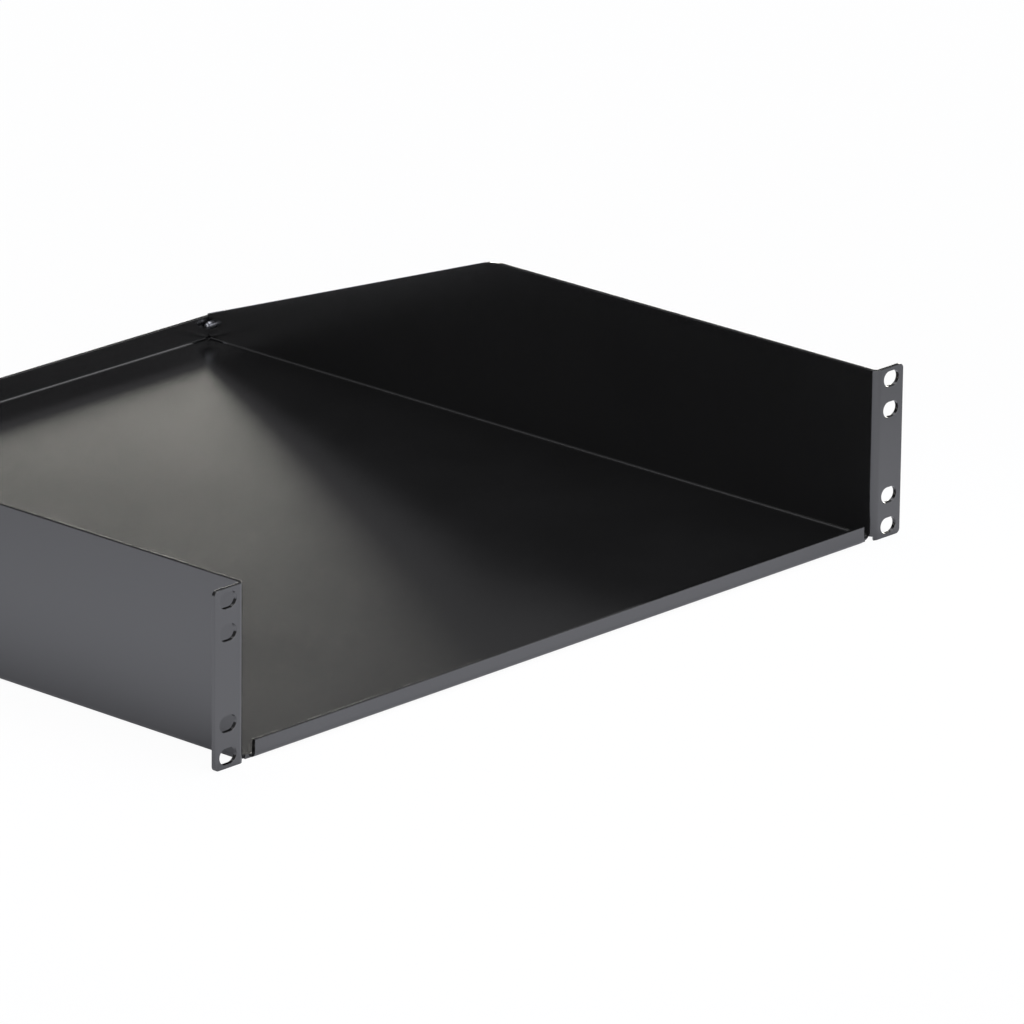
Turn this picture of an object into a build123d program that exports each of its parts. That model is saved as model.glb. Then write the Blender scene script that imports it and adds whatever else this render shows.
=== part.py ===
from build123d import *
import os
from math import cos, radians, sin

# A two-unit cantilever shelf for a 19-inch rack: one folded steel tray whose rear
# lip wraps round the ends of the side walls and is held there by two blind rivets.
# Millimetres. X runs across the rack, Y into it and Z up. The origin is on the
# ears' rear face, where the rack rail touches it, in the middle of the panel.

# Panel and rack fit. Each unit of the rack has holes near its edges and in its middle.
unit_height = 44.45
unit_count = 2
unit_edge_hole = 6.35
panel_gap = 0.8
panel_width = 482.6
panel_height = unit_count * unit_height - panel_gap
ear_reach = 18.3
body_width = panel_width - 2 * ear_reach
depth_behind_rail = 460.0
slot_edge_distance = 8.75
slot_spacing_x = panel_width - 2 * slot_edge_distance
outer_slot_spacing_z = unit_count * unit_height - 2 * unit_edge_hole
inner_slot_spacing_z = (unit_count - 1) * unit_height
slot_length = 11.2
slot_width = 8.0
ear_corner_radius = 2.5

# Sheet and folds
sheet = 2.0
tray_fold_radius = 1.0
ear_fold_radius = 2.0

# Side walls
level_top_length = 257.2
wall_rear_height = 14.8
top_corner_radius = 35.0

# Front lip
front_lip_height = 9.2
front_lip_end_gap = 8.4

# Rear lip and its end tabs
rear_lip_height = 14.2
rear_relief_width = 1.5
rear_relief_depth = 1.2
tab_length = 13.0
tab_base_height = 1.0
tab_corner_radius = 2.0
tab_clearance = 0.1
wall_end_clearance = 0.2
fold_end_clearance = 0.3

# Reliefs at the front corners
front_edge_setback = 2.6
front_edge_end_gap = 4.5
ear_notch_height = 2.0
ear_notch_angle = 52.0

# Blind rivets
rivet_diameter = 3.2
rivet_hole_clearance = 0.05
rivet_edge_distance = 2.6
rivet_height = 10.2
rivet_head_diameter = 6.4
rivet_head_height = 1.1
rivet_head_rim = 0.3
rivet_bulb_diameter = 4.4
rivet_bulb_length = 3.8
rivet_end_diameter = 3.6
mandrel_diameter = 1.8
mandrel_clearance = 0.04
mandrel_head_diameter = 2.8
mandrel_head_rim = 0.3
mandrel_break_depth = 0.4

# Places that follow from the sizes above
floor_z = -panel_height / 2
top_z = panel_height / 2
half_body = body_width / 2
half_panel = panel_width / 2
wall_inner_x = half_body - sheet
tray_outer_radius = tray_fold_radius + sheet
ear_outer_radius = ear_fold_radius + sheet
fold_top_z = floor_z + tray_outer_radius
wall_start_y = ear_outer_radius - sheet
ear_flat_x = wall_inner_x + ear_outer_radius
lip_front_y = -sheet
lip_tangent_y = lip_front_y + tray_outer_radius
lip_half_width = half_body - front_lip_end_gap
front_edge_y = front_edge_setback - sheet
front_edge_x = half_body - front_edge_end_gap
rear_inner_y = depth_behind_rail - sheet
rear_tangent_y = depth_behind_rail - tray_outer_radius
relief_x = half_body - tray_outer_radius - rear_relief_width
relief_y = rear_tangent_y - rear_relief_depth
fold_end_y = rear_tangent_y - fold_end_clearance
tab_low_z = floor_z + tab_base_height
tab_inner_x = half_body + tab_clearance
tab_outer_x = tab_inner_x + sheet
tab_fold_x = tab_inner_x - tray_fold_radius
tab_front_y = depth_behind_rail - tab_length
wall_end_y = rear_inner_y - wall_end_clearance
wall_slope = (panel_height - wall_rear_height) / (depth_behind_rail - level_top_length)
rivet_y = wall_end_y - rivet_edge_distance
rivet_z = floor_z + rivet_height
overshoot = 10.0

CORNER = (Align.MIN, Align.MIN)


def slope_z(y):
    """Height of the sloping top edge at depth y."""
    return top_z - wall_slope * (y - level_top_length)


def rectangle(low, high):
    """Rectangle between two corners of the sketch plane."""
    return Pos(*low) * Rectangle(high[0] - low[0], high[1] - low[1], align=CORNER)


def quarter_fold(centre, inner_radius, turn):
    """Section of a right-angled fold about centre, turned from the first quadrant."""
    ring = Circle(inner_radius + sheet) - Circle(inner_radius)
    reach = inner_radius + sheet
    return Pos(*centre) * Rot(0, 0, turn) * (ring & rectangle((0, 0), (reach, reach)))


def across(section, half_width):
    """Extrudes a side-view section both ways across the rack."""
    return extrude(Plane.YZ * section, amount=half_width, both=True)


def both_sides(solid):
    """A right-hand piece and its mirror image."""
    return [solid, mirror(solid, about=Plane.YZ)]


def under_slope():
    """Block that the walls' side view fills: level top, rounded corner, slope."""
    rear = depth_behind_rail + overshoot
    outline = Polyline(
        (-overshoot, floor_z),
        (rear, floor_z),
        (rear, slope_z(rear)),
        (level_top_length, top_z),
        (-overshoot, top_z),
        close=True,
    )
    side_view = make_face(outline)
    peak = side_view.vertices().sort_by_distance((level_top_length, top_z, 0))[0]
    return across(fillet(peak, top_corner_radius), half_panel)


def front_cutter():
    """Cutter in front of the base's right half: lip, cut edge beside it, wall."""
    front = -sheet - overshoot
    plan = rectangle((0, front), (lip_half_width, lip_tangent_y))
    plan += rectangle((lip_half_width, front), (front_edge_x, front_edge_y))
    plan += rectangle((front_edge_x, front), (half_body + overshoot, wall_start_y))
    return Pos(0, 0, floor_z) * extrude(plan, amount=panel_height)


def rear_cutter():
    """Relief in the right rear corner, a round-ended slit between the two folds."""
    radius = rear_relief_width / 2
    plan = rectangle((relief_x, relief_y + radius), (relief_x + rear_relief_width, depth_behind_rail))
    plan += Pos(relief_x + radius, relief_y + radius) * Circle(radius)
    plan += rectangle((relief_x, fold_end_y), (half_body + overshoot, depth_behind_rail))
    relief = extrude(plan, amount=overshoot + tray_outer_radius)
    return Pos(0, 0, floor_z - overshoot) * relief


def channel():
    """Base and side walls, a channel cut back at its front and rear corners."""
    outside = rectangle((-half_body, floor_z), (half_body, top_z))
    outside = fillet(outside.vertices().group_by(Axis.Y)[0], tray_outer_radius)
    inside = rectangle((-wall_inner_x, floor_z + sheet), (wall_inner_x, top_z + sheet))
    inside = fillet(inside.vertices().group_by(Axis.Y)[0], tray_fold_radius)
    section = Plane.XZ.offset(sheet) * (outside - inside)
    walls = extrude(section, amount=-sheet - wall_end_y)
    return (walls & under_slope()) - both_sides(front_cutter()) - both_sides(rear_cutter())


def front_lip():
    """Lip folded up from the base's front edge, short of the walls at each end."""
    fold = quarter_fold((lip_tangent_y, fold_top_z), tray_fold_radius, 180)
    upright = rectangle((lip_front_y, fold_top_z), (lip_front_y + sheet, floor_z + front_lip_height))
    return across(fold + upright, lip_half_width)


def rear_lip():
    """Lip folded up from the base's rear edge, with its fold clear of the walls."""
    fold = quarter_fold((rear_tangent_y, fold_top_z), tray_fold_radius, 270)
    base = rectangle((relief_y, floor_z), (rear_tangent_y, floor_z + sheet))
    upright = rectangle((rear_inner_y, tab_low_z), (depth_behind_rail, floor_z + rear_lip_height))
    low = rectangle((rear_inner_y, floor_z), (depth_behind_rail, fold_top_z))
    return across(fold + base, relief_x) + (across(upright, tab_fold_x) - across(low, relief_x))


def rear_tab():
    """Right-hand tab of the rear lip, folded forward along the wall's outer face."""
    fold = quarter_fold((tab_fold_x, rear_tangent_y), tray_fold_radius, 0)
    flat = rectangle((tab_inner_x, tab_front_y), (tab_outer_x, rear_tangent_y))
    bent = Pos(0, 0, floor_z) * extrude(fold + flat, amount=panel_height)
    rear = depth_behind_rail + overshoot
    outline = Polyline(
        (tab_front_y, tab_low_z),
        (rear, tab_low_z),
        (rear, slope_z(rear)),
        (tab_front_y, slope_z(tab_front_y)),
        close=True,
    )
    side_view = make_face(outline)
    front_corners = side_view.vertices().group_by(Axis.X)[0]
    return bent & across(fillet(front_corners, tab_corner_radius), half_panel)


def ear():
    """Right-hand ear and its fold, notched at the bottom where two folds meet."""
    fold = quarter_fold((ear_flat_x, wall_start_y), ear_fold_radius, 180)
    flat = rectangle((ear_flat_x, -sheet), (half_panel, 0))
    bent = Pos(0, 0, floor_z) * extrude(fold + flat, amount=panel_height)
    outer_edges = bent.edges().filter_by(Axis.Y).group_by(Axis.X)[-1]
    bent = fillet(outer_edges, ear_corner_radius)
    angle = radians(ear_notch_angle)
    reach = 2 * ear_outer_radius
    wedge = Polyline((0, 0), (-reach, 0), (-reach * cos(angle), -reach * sin(angle)), close=True)
    plan = Pos(ear_flat_x, wall_start_y) * make_face(wedge)
    notch = Pos(0, 0, floor_z - overshoot) * extrude(plan, amount=overshoot + ear_notch_height)
    return bent - notch


def slot_cutters():
    """Cutters for the right-hand ear's four slots, which lie along X."""
    heights = (outer_slot_spacing_z / 2, inner_slot_spacing_z / 2)
    places = [Pos(slot_spacing_x / 2, sign * height) for height in heights for sign in (1, -1)]
    slot = SlotOverall(slot_length, slot_width)
    return [extrude(Plane.XZ * (place * slot), amount=overshoot, both=True) for place in places]


def rivet_hole():
    """Cutter for the right-hand rivet's hole through tab and wall."""
    radius = rivet_diameter / 2 + rivet_hole_clearance
    plane = Plane(origin=(half_body, rivet_y, rivet_z), z_dir=(1, 0, 0))
    return extrude(plane * Circle(radius), amount=overshoot, both=True)


def tray():
    """The folded sheet: base, walls, ears, lips and tabs from one blank."""
    body = channel() + front_lip() + rear_lip()
    for piece in (ear(), rear_tab()):
        body = body + both_sides(piece)
    for cutter in slot_cutters() + [rivet_hole()]:
        body = body - both_sides(cutter)
    return body


def turned(outline):
    """Revolves a half section about the right-hand rivet's axis.

    In the half section X is the distance from the wall's inner face towards the
    middle of the shelf, and Y is the radius.
    """
    plane = Plane(origin=(wall_inner_x, rivet_y, rivet_z), x_dir=(-1, 0, 0), z_dir=(0, 1, 0))
    axis = Axis((wall_inner_x, rivet_y, rivet_z), (1, 0, 0))
    return revolve(plane * make_face(outline), axis=axis)


def rivet_shell():
    """Set body of the rivet: dome head outside, shank, and swollen blind end."""
    bore = mandrel_diameter / 2 + mandrel_clearance
    head = rivet_head_diameter / 2
    shank = rivet_diameter / 2
    bulb = rivet_bulb_diameter / 2
    end = rivet_end_diameter / 2
    length = rivet_bulb_length
    seat = wall_inner_x - tab_outer_x
    crown = seat - rivet_head_height
    rim = seat - rivet_head_rim
    dome = TangentArc((crown, bore), (rim, head), tangent=(0, 1))
    neck = Polyline((rim, head), (seat, head), (seat, shank), (0, shank), (0, bulb))
    taper = TangentArc((0, bulb), (length, end), tangent=(1, 0))
    inside = Polyline((length, end), (length, bore), (crown, bore))
    return turned(dome.edges() + neck.edges() + taper.edges() + inside.edges())


def rivet_mandrel():
    """What is left of the mandrel: a stem in the shell and its head at the end."""
    stem = mandrel_diameter / 2
    head = mandrel_head_diameter / 2
    seat = rivet_bulb_length
    rim = seat + mandrel_head_rim
    tip = rim + head
    broken_end = wall_inner_x - tab_outer_x - rivet_head_height + mandrel_break_depth
    stepped = [(tip, 0), (broken_end, 0), (broken_end, stem), (seat, stem), (seat, head), (rim, head)]
    sides = Polyline(*stepped)
    nose = TangentArc((rim, head), (tip, 0), tangent=(1, 0))
    return turned(sides.edges() + nose.edges())


def pieces():
    """Every separate piece of the shelf, by the name of its node."""
    named = {"tray": tray()}
    for name, piece in (("rivet_shell", rivet_shell()), ("rivet_mandrel", rivet_mandrel())):
        right, left = both_sides(piece)
        named[name + "_right"] = right
        named[name + "_left"] = left
    return named


os.makedirs("parts", exist_ok=True)
for name, piece in pieces().items():
    export_step(piece, f"parts/{name}.step")
    print(name, round(piece.volume, 2), "solids", len(piece.solids()), "valid", piece.is_valid)
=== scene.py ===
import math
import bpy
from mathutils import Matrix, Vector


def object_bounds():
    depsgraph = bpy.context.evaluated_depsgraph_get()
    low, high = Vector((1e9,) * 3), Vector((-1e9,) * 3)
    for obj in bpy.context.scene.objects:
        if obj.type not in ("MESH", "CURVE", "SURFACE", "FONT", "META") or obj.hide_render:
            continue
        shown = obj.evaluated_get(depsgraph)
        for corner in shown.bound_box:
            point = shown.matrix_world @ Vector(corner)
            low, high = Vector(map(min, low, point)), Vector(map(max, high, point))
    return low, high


bl_info = {
    "name": "Rack Shelf Finish",
    "version": (1, 0, 0),
    "blender": (4, 5, 0),
    "location": "View3D > Sidebar > Shelf",
    "description": "Powder coat, rivet metal and a white studio for a folded steel rack shelf",
    "category": "Object",
}

import bmesh
import bpy
from bpy.props import FloatProperty, FloatVectorProperty, PointerProperty
from mathutils import Matrix, Vector

# The part's own frame, in metres: X across the rack, Y into it, Z up. The origin is
# on the rear face of the ears, in the middle of the panel.
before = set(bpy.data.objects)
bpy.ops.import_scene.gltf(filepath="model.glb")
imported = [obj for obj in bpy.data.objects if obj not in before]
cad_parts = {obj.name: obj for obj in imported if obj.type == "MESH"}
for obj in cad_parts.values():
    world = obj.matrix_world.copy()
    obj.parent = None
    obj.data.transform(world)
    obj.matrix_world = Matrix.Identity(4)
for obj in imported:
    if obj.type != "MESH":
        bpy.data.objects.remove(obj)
SHELF_LOW, SHELF_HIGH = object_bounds()

MM = 0.001
SENSOR_WIDTH = 36.0

# Height that clears the bend between the tray's base and its walls. Above it, only cut
# edges face up.
BEND_TOP = SHELF_LOW.z + 4 * MM
EDGE_BLEND = 0.5 * MM

# Powder coat. A grain is one fine bump; the orange peel is ten times as wide. These
# values, the coat's settings and the lights were chosen together, to look right. They
# aren't measured, and the coat's refractive index is higher than real paint's.
COAT_PATCH_SIZE = 60 * MM
COAT_SHADES = (0.86, 1.14)
PEEL_WIDTH = 10
PEEL_HEIGHT = 0.5
EDGE_BUMP_SHARE = 0.1
PATCH_DULLNESS = 0.03
GRAIN_DULLNESS = 0.05
UPWARD = (0.4, 0.6)

# Rivets
SCUFF_SIZE = 0.6 * MM
SCUFF_DEPTH = 0.03 * MM
SCUFF_DULLNESS = 0.12
SCUFF_SHADE = 0.6

# Floor. Its colour is painted with a pool of light: painted shade darkens it away from the pool's
# middle, and reflections see this.
FLOOR_SIZE = 12.0
FLOOR_WHITE = 0.95
POOL_MIDDLE = (-120 * MM, -50 * MM, SHELF_LOW.z)
POOL_EDGE = (0.28, 0.62)

# Parts of the studio's sphere: cosines from the middle of a light, or heights.
FRONT_EDGE = (0.55, 0.85)
FRONT_BOTTOM = (0.04, 0.16)
FRONT_TOP = (0.62, 0.48)
CEILING_EDGE = (0.68, 0.86)

# Where the window dims towards its left end, as shares of its width from the middle.
WINDOW_LEFT_FADE = (-0.37, -0.09)

WHITE = (1.0, 1.0, 1.0)
UPRIGHT = (0.0, 0.0, 1.0)
CEILING_TINT = (0.99, 0.99, 1.02)
WINDOW_TINT = (1.0, 0.975, 0.89)
# Painted pool of light on the floor: lit colour near its middle, painted shade further out.
POOL_LIT_FLOOR = (0.915, 0.925, 0.98)
POOL_SHADED_FLOOR = (0.70, 0.71, 0.75)


class Wire:
    """A shader socket that takes part in Python arithmetic by adding Math nodes."""

    def __init__(self, graph, socket):
        self.graph = graph
        self.socket = socket

    def maths(self, operation, *values):
        sockets = dict(enumerate(values))
        return self.graph.add("ShaderNodeMath", {"operation": operation}, sockets)[0]

    def __add__(self, other):
        return self.maths("ADD", self, other)

    def __sub__(self, other):
        return self.maths("SUBTRACT", self, other)

    def __rsub__(self, other):
        return self.maths("SUBTRACT", other, self)

    def __mul__(self, other):
        return self.maths("MULTIPLY", self, other)

    __radd__ = __add__
    __rmul__ = __mul__


class Made:
    """A node that was added to a graph. Indexing it gives one of its outputs."""

    def __init__(self, graph, node):
        self.graph = graph
        self.node = node

    def __getitem__(self, output):
        return Wire(self.graph, self.node.outputs[output])


class Graph:
    """The node tree of one material or of the world."""

    def __init__(self, owner):
        owner.use_nodes = True
        self.tree = owner.node_tree
        self.tree.nodes.clear()
        is_world = isinstance(owner, bpy.types.World)
        self.output = "ShaderNodeOutputWorld" if is_world else "ShaderNodeOutputMaterial"

    def add(self, kind, settings=None, sockets=None):
        """Adds a node, sets it up, then fills its sockets with values or wires."""
        node = self.tree.nodes.new(kind)
        for name, value in (settings or {}).items():
            setattr(node, name, value)
        for name, value in (sockets or {}).items():
            if isinstance(value, Wire):
                self.tree.links.new(value.socket, node.inputs[name])
            else:
                node.inputs[name].default_value = value
        return Made(self, node)

    def place(self):
        """Position in the object's own coordinates, which are the part's frame."""
        return self.add("ShaderNodeTexCoord")["Object"]

    def noise(self, where, size, detail=2.0, roughness=0.5):
        """Noise from 0 to 1 whose features are about size metres across."""
        values = {"Vector": where, "Scale": 1 / size, "Detail": detail, "Roughness": roughness}
        return self.add("ShaderNodeTexNoise", {"noise_dimensions": "3D"}, values)["Fac"]

    def between(self, value, low, high, new_low, new_high):
        """Maps a value's range to another one, smoothly and clamped."""
        values = {
            "Value": value,
            "From Min": low,
            "From Max": high,
            "To Min": new_low,
            "To Max": new_high,
        }
        settings = {"interpolation_type": "SMOOTHSTEP"}
        return self.add("ShaderNodeMapRange", settings, values)["Result"]

    def tint(self, share, first, second):
        """Colour between two colours, each three numbers or a wire."""
        settings = {"data_type": "RGBA", "blend_type": "MIX"}
        first, second = (end if isinstance(end, Wire) else (*end, 1.0) for end in (first, second))
        return self.add("ShaderNodeMix", settings, {"Factor": share, 6: first, 7: second})[2]

    def distance(self, where, point):
        """Distance in metres from the place being shaded to a point."""
        values = {0: where, 1: point}
        return self.add("ShaderNodeVectorMath", {"operation": "DISTANCE"}, values)["Value"]

    def along(self, direction, axis):
        """Part of a direction, or of a place, that lies along an axis."""
        values = {0: direction, 1: axis}
        return self.add("ShaderNodeVectorMath", {"operation": "DOT_PRODUCT"}, values)["Value"]

    def finish(self, shader):
        self.add(self.output, None, {"Surface": shader})


class CoatSettings(bpy.types.PropertyGroup):
    """Black powder coat on the folded sheet."""

    colour: FloatVectorProperty(
        name="Colour", description="Colour of the powder coat", subtype="COLOR", size=3,
        min=0.0, max=1.0, default=(0.0052, 0.0052, 0.0054),
    )
    roughness: FloatProperty(
        name="Roughness", description="How widely the satin coat spreads a reflection",
        subtype="FACTOR", min=0.0, max=1.0, default=0.15,
    )
    gloss_index: FloatProperty(
        name="Refractive index", description="Strength of the coat's reflection",
        min=1.0, max=3.0, default=1.92,
    )
    grain_size: FloatProperty(
        name="Grain size", description="Width of the coat's fine bumps",
        subtype="DISTANCE", unit="LENGTH", default=0.3 * MM,
    )
    grain_depth: FloatProperty(
        name="Grain depth", description="Height of the coat's fine bumps",
        subtype="DISTANCE", unit="LENGTH", default=0.021 * MM,
    )
    edge_radius: FloatProperty(
        name="Edge softness", description="How far the coat rounds a cut edge",
        subtype="DISTANCE", unit="LENGTH", default=0.45 * MM,
    )
    edge_roughness: FloatProperty(
        name="Edge roughness", subtype="FACTOR", min=0.0, max=1.0, default=0.06,
        description="How widely the thin coat on a cut edge spreads a reflection",
    )


class RivetSettings(bpy.types.PropertyGroup):
    """Bare metal of the two blind rivets."""

    shell_colour: FloatVectorProperty(
        name="Shell colour", description="Colour of the rivets' set bodies", subtype="COLOR",
        size=3, min=0.0, max=1.0, default=(0.50, 0.51, 0.55),
    )
    mandrel_colour: FloatVectorProperty(
        name="Mandrel colour", description="Colour of the mandrels' steel", subtype="COLOR",
        size=3, min=0.0, max=1.0, default=(0.30, 0.31, 0.33),
    )
    roughness: FloatProperty(
        name="Roughness", description="Dullness of the rivets", subtype="FACTOR",
        min=0.0, max=1.0, default=0.3,
    )


class StudioSettings(bpy.types.PropertyGroup):
    """White studio and the camera."""

    target: FloatVectorProperty(
        name="Target", description="Point in the middle of the picture", subtype="TRANSLATION",
        size=3, unit="LENGTH", default=(-13.61 * MM, 23.63 * MM, 21.84 * MM),
    )
    distance: FloatProperty(
        name="Distance", description="From the camera to the target", subtype="DISTANCE",
        unit="LENGTH", default=4.671,
    )
    heading: FloatProperty(
        name="Heading", description="Turn of the camera from +Y towards +X",
        subtype="ANGLE", unit="ROTATION", default=math.radians(47.26),
    )
    dip: FloatProperty(
        name="Dip", description="How far the camera looks down",
        subtype="ANGLE", unit="ROTATION", default=math.radians(18.717),
    )
    roll: FloatProperty(
        name="Roll", description="Turn of the picture about its middle",
        subtype="ANGLE", unit="ROTATION", default=math.radians(0.631),
    )
    lens: FloatProperty(
        name="Lens", description="Focal length", unit="CAMERA", default=344.6,
    )
    ceiling_light: FloatProperty(
        name="Ceiling light", description="Brightness of the studio overhead",
        min=0.0, default=1.85,
    )
    ceiling_lean: FloatProperty(
        name="Ceiling lean", description="How far the ceiling's middle lies to the right",
        subtype="ANGLE", unit="ROTATION", default=math.radians(10.0),
    )
    side_light: FloatProperty(
        name="Side light", description="Brightness of the studio's walls",
        min=0.0, default=0.13,
    )
    front_light: FloatProperty(
        name="Front light", description="Brightness of the soft light in front of the shelf",
        min=0.0, default=3.5,
    )
    front_heading: FloatProperty(
        name="Front heading", description="Turn of the soft light's middle from +Y towards +X",
        subtype="ANGLE", unit="ROTATION", default=math.radians(195.0),
    )
    window_light: FloatProperty(
        name="Window light", description="Brightness of the long low window behind the shelf",
        min=0.0, default=10.5,
    )
    window_heading: FloatProperty(
        name="Window heading", description="Turn of the window's middle from +Y towards +X",
        subtype="ANGLE", unit="ROTATION", default=math.radians(47.0),
    )
    window_distance: FloatProperty(
        name="Window distance", description="From the origin to the window",
        subtype="DISTANCE", unit="LENGTH", default=3.2,
    )
    window_width: FloatProperty(
        name="Window width", description="Length of the window", subtype="DISTANCE",
        unit="LENGTH", default=5.0,
    )
    window_base: FloatProperty(
        name="Window base", description="Height of the window's lower edge over the floor",
        subtype="DISTANCE", unit="LENGTH", default=0.17,
    )
    window_fade: FloatProperty(
        name="Window fade", description="Height over the floor at which the window starts to dim",
        subtype="DISTANCE", unit="LENGTH", default=0.33,
    )
    window_top: FloatProperty(
        name="Window top", description="Height of the window's upper edge over the floor",
        subtype="DISTANCE", unit="LENGTH", default=0.83,
    )
    floor_glow: FloatProperty(
        name="Floor glow", subtype="FACTOR", min=0.0, max=1.0, default=0.05,
        description="Share of the floor's white that shadows can't reach, in reflections",
    )


def finish_node(name, material):
    """Gives a CAD node its finish."""
    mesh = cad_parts[name].data
    mesh.materials.clear()
    mesh.materials.append(material)


def powder_coat(settings):
    """Satin black powder coat: fine orange peel, smooth on cut edges."""
    material = bpy.data.materials.new("powder_coat")
    graph = Graph(material)
    where = graph.place()
    patches = graph.noise(where, COAT_PATCH_SIZE, detail=3.0)
    grain = graph.noise(where, settings.grain_size, detail=1.0)
    peel = graph.noise(where, PEEL_WIDTH * settings.grain_size, detail=1.0)

    # The coat draws smooth over the cut edges that face up, above the tray's bend.
    facing_up = graph.along(graph.add("ShaderNodeNewGeometry")["True Normal"], UPRIGHT)
    height = graph.along(where, UPRIGHT)
    above_bend = graph.between(height, BEND_TOP, BEND_TOP + EDGE_BLEND, 0.0, 1.0)
    cut_edge = graph.between(facing_up, *UPWARD, 0.0, 1.0) * above_bend
    plain = 1.0 - cut_edge

    deep, light = ([shade * channel for channel in settings.colour] for shade in COAT_SHADES)
    colour = graph.tint(graph.between(patches, 0.3, 0.7, 0.0, 1.0), deep, light)
    uneven = PATCH_DULLNESS * (patches - 0.5) + GRAIN_DULLNESS * (grain - 0.5)
    spread = settings.roughness + uneven
    roughness = spread * plain + settings.edge_roughness * cut_edge
    softness = {"Radius": settings.edge_radius}
    rounded = graph.add("ShaderNodeBevel", {"samples": 6}, softness)["Normal"]
    bumps = (grain + peel * PEEL_HEIGHT) * (EDGE_BUMP_SHARE + (1.0 - EDGE_BUMP_SHARE) * plain)
    bump = {
        "Height": bumps,
        "Distance": settings.grain_depth,
        "Strength": 1.0,
        "Normal": rounded,
    }
    sockets = {
        "Base Color": colour,
        "Roughness": roughness,
        "IOR": settings.gloss_index,
        "Normal": graph.add("ShaderNodeBump", None, bump)["Normal"],
    }
    graph.finish(graph.add("ShaderNodeBsdfPrincipled", None, sockets)["BSDF"])
    return material


def rivet_metal(name, colour, roughness):
    """Bare metal that setting the rivet has scuffed."""
    material = bpy.data.materials.new(name)
    graph = Graph(material)
    where = graph.place()
    scuffs = graph.noise(where, SCUFF_SIZE, detail=4.0, roughness=0.65)
    dull = [SCUFF_SHADE * channel for channel in colour]
    shade = graph.tint(graph.between(scuffs, 0.35, 0.65, 0.0, 1.0), dull, list(colour))
    bump = {"Height": scuffs, "Distance": SCUFF_DEPTH, "Strength": 1.0}
    normal = graph.add("ShaderNodeBump", None, bump)["Normal"]
    sockets = {
        "Base Color": shade,
        "Metallic": 1.0,
        "Roughness": roughness + SCUFF_DULLNESS * (scuffs - 0.5),
        "Normal": normal,
    }
    graph.finish(graph.add("ShaderNodeBsdfPrincipled", None, sockets)["BSDF"])
    return material


class SHELF_OT_coat_tray(bpy.types.Operator):
    """Coat the folded tray in satin black"""

    bl_idname = "shelf.coat_tray"
    bl_label = "Coat the Tray"

    def execute(self, context):
        finish_node("tray", powder_coat(context.scene.shelf_coat))
        return {"FINISHED"}


class SHELF_OT_finish_rivets(bpy.types.Operator):
    """Give the two blind rivets their bare metal"""

    bl_idname = "shelf.finish_rivets"
    bl_label = "Finish the Rivets"

    def execute(self, context):
        settings = context.scene.shelf_rivets
        shell = rivet_metal("rivet_metal", settings.shell_colour, settings.roughness)
        mandrel = rivet_metal("mandrel_steel", settings.mandrel_colour, settings.roughness)
        for side in ("right", "left"):
            finish_node(f"rivet_shell_{side}", shell)
            finish_node(f"rivet_mandrel_{side}", mandrel)
        return {"FINISHED"}


def studio_floor(settings):
    """Pale floor under the shelf, which keeps a soft shadow. Its colour is a painted pool of
    light that darkens outwards.
    """
    mesh = bpy.data.meshes.new("studio_floor")
    shape = bmesh.new()
    bmesh.ops.create_grid(shape, x_segments=1, y_segments=1, size=FLOOR_SIZE / 2)
    bmesh.ops.translate(shape, verts=shape.verts, vec=(0, 0, SHELF_LOW.z))
    shape.to_mesh(mesh)
    shape.free()
    floor = bpy.data.objects.new("studio_floor", mesh)
    bpy.context.scene.collection.objects.link(floor)
    material = bpy.data.materials.new("studio_white")
    graph = Graph(material)
    light = graph.add("ShaderNodeLightPath")
    share = light["Is Camera Ray"] * FLOOR_WHITE + light["Is Glossy Ray"] * settings.floor_glow
    # Painted pool of light: the floor's colour is lighter near the pool's middle and painted
    # darker away from it.
    away = graph.distance(graph.place(), POOL_MIDDLE)
    paint = graph.tint(graph.between(away, *POOL_EDGE, 0.0, 1.0), POOL_LIT_FLOOR, POOL_SHADED_FLOOR)
    lit = graph.add("ShaderNodeBsdfDiffuse", None, {"Color": paint})["BSDF"]
    plain_white = {"Color": (*WHITE, 1.0), "Strength": 1.0}
    white = graph.add("ShaderNodeEmission", None, plain_white)["Emission"]
    mixed = graph.add("ShaderNodeMixShader", None, {0: share, 1: lit, 2: white})[0]
    graph.finish(mixed)
    mesh.materials.append(material)


def level_direction(heading):
    """Level direction that is turned from +Y towards +X by an angle."""
    return Vector((math.sin(heading), math.cos(heading), 0.0))


def studio_world(settings):
    """Bright ceiling, dim walls and a soft light in front; the camera sees plain white."""
    world = bpy.data.worlds.new("studio")
    bpy.context.scene.world = world
    graph = Graph(world)
    direction = graph.add("ShaderNodeTexCoord")["Generated"]
    height = graph.add("ShaderNodeSeparateXYZ", None, {"Vector": direction})["Z"]
    towards = graph.along(direction, level_direction(settings.front_heading))
    front = graph.between(towards, *FRONT_EDGE, 0.0, settings.front_light)
    above = graph.between(height, *FRONT_BOTTOM, 0.0, 1.0)
    below = graph.between(height, *FRONT_TOP, 0.0, 1.0)
    band = above * below
    overhead = Vector((math.sin(settings.ceiling_lean), 0.0, math.cos(settings.ceiling_lean)))
    up_there = graph.along(direction, overhead)
    ceiling = graph.between(up_there, *CEILING_EDGE, 0.0, settings.ceiling_light)
    glow = settings.side_light + front * band + ceiling
    seen = graph.add("ShaderNodeLightPath")["Is Camera Ray"]
    strength = glow + seen * (1.0 - glow)
    background = {"Color": graph.tint(seen, CEILING_TINT, WHITE), "Strength": strength}
    graph.finish(graph.add("ShaderNodeBackground", None, background)["Background"])


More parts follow.
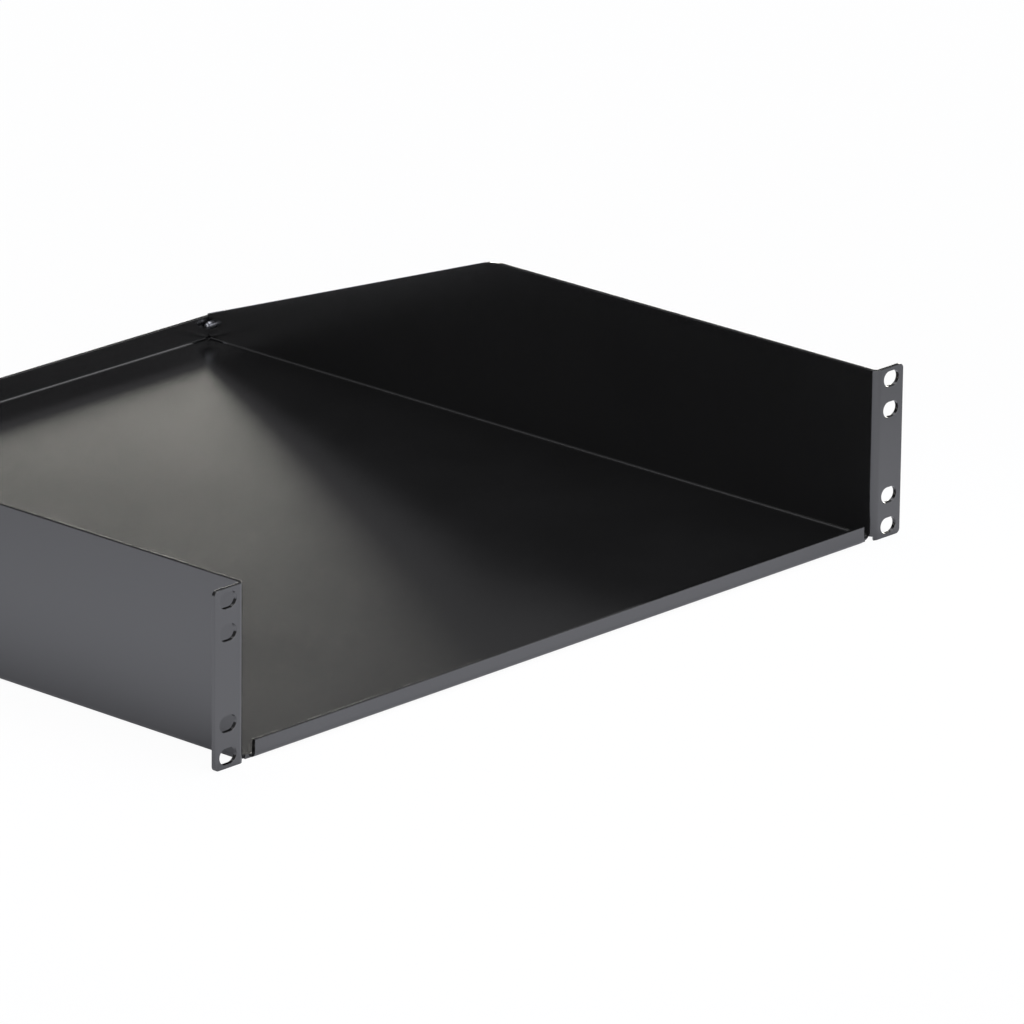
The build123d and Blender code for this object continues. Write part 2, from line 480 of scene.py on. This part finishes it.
def studio_window(settings):
    """Long low window behind the shelf that dims upwards, hidden from the camera."""
    mesh = bpy.data.meshes.new("studio_window")
    shape = bmesh.new()
    bmesh.ops.create_grid(shape, x_segments=1, y_segments=1, size=0.5)
    height = settings.window_top - settings.window_base
    bmesh.ops.scale(shape, verts=shape.verts, vec=(settings.window_width, height, 1.0))
    raised = Matrix.Rotation(math.radians(90), 3, "X")
    turned = Matrix.Rotation(-settings.window_heading, 3, "Z")
    bmesh.ops.rotate(shape, verts=shape.verts, matrix=turned @ raised)
    middle = level_direction(settings.window_heading) * settings.window_distance
    middle.z = SHELF_LOW.z + settings.window_base + height / 2
    bmesh.ops.translate(shape, verts=shape.verts, vec=middle)
    shape.to_mesh(mesh)
    shape.free()
    window = bpy.data.objects.new("studio_window", mesh)
    bpy.context.scene.collection.objects.link(window)
    window.visible_camera = False
    material = bpy.data.materials.new("studio_window")
    graph = Graph(material)
    where = graph.place()
    above = graph.along(where, UPRIGHT) - SHELF_LOW.z
    across = graph.along(where, level_direction(settings.window_heading + math.radians(90)))
    fade_start, fade_end = (part * settings.window_width for part in WINDOW_LEFT_FADE)
    share = graph.between(across, fade_start, fade_end, 0.0, 1.0)
    strength = share * graph.between(
        above, settings.window_fade, settings.window_top, settings.window_light, 0.0
    )
    glow = {"Color": (*WINDOW_TINT, 1.0), "Strength": strength}
    graph.finish(graph.add("ShaderNodeEmission", None, glow)["Emission"])
    mesh.materials.append(material)


def studio_camera(settings):
    """Camera at the place from which the shelf was photographed."""
    sin_heading, cos_heading = math.sin(settings.heading), math.cos(settings.heading)
    sin_dip, cos_dip = math.sin(settings.dip), math.cos(settings.dip)
    forward = Vector((sin_heading * cos_dip, cos_heading * cos_dip, -sin_dip))
    level = Vector((cos_heading, -sin_heading, 0.0))
    upright = level.cross(forward)
    right = math.cos(settings.roll) * level + math.sin(settings.roll) * upright
    up = right.cross(forward)
    turn = Matrix((right, up, -forward)).transposed().to_4x4()
    data = bpy.data.cameras.new("camera")
    data.lens = settings.lens
    data.sensor_width = SENSOR_WIDTH
    camera = bpy.data.objects.new("camera", data)
    bpy.context.scene.collection.objects.link(camera)
    place = Vector(settings.target) - forward * settings.distance
    camera.matrix_world = Matrix.Translation(place) @ turn
    bpy.context.scene.camera = camera


class SHELF_OT_set_stage(bpy.types.Operator):
    """Set up the white studio, its light and the camera"""

    bl_idname = "shelf.set_stage"
    bl_label = "Set the Stage"

    def execute(self, context):
        settings = context.scene.shelf_studio
        studio_world(settings)
        studio_window(settings)
        studio_floor(settings)
        studio_camera(settings)
        context.scene.view_settings.view_transform = "Standard"
        return {"FINISHED"}


class SHELF_PT_sidebar(bpy.types.Panel):
    """Lists the steps and their settings"""

    bl_idname = "SHELF_PT_sidebar"
    bl_label = "Rack Shelf"
    bl_space_type = "VIEW_3D"
    bl_region_type = "UI"
    bl_category = "Shelf"

    def draw(self, context):
        scene = context.scene
        steps = (
            (SHELF_OT_coat_tray, scene.shelf_coat),
            (SHELF_OT_finish_rivets, scene.shelf_rivets),
            (SHELF_OT_set_stage, scene.shelf_studio),
        )
        for operator, settings in steps:
            box = self.layout.box()
            for name in settings.__annotations__:
                box.prop(settings, name)
            box.operator(operator.bl_idname)


CLASSES = (
    CoatSettings,
    RivetSettings,
    StudioSettings,
    SHELF_OT_coat_tray,
    SHELF_OT_finish_rivets,
    SHELF_OT_set_stage,
    SHELF_PT_sidebar,
)


def register():
    for cls in CLASSES:
        bpy.utils.register_class(cls)
    bpy.types.Scene.shelf_coat = PointerProperty(type=CoatSettings)
    bpy.types.Scene.shelf_rivets = PointerProperty(type=RivetSettings)
    bpy.types.Scene.shelf_studio = PointerProperty(type=StudioSettings)


def unregister():
    del bpy.types.Scene.shelf_studio
    del bpy.types.Scene.shelf_rivets
    del bpy.types.Scene.shelf_coat
    for cls in reversed(CLASSES):
        bpy.utils.unregister_class(cls)


def main():
    register()
    bpy.ops.shelf.coat_tray()
    bpy.ops.shelf.finish_rivets()
    bpy.ops.shelf.set_stage()


if __name__ == "__main__":
    main()
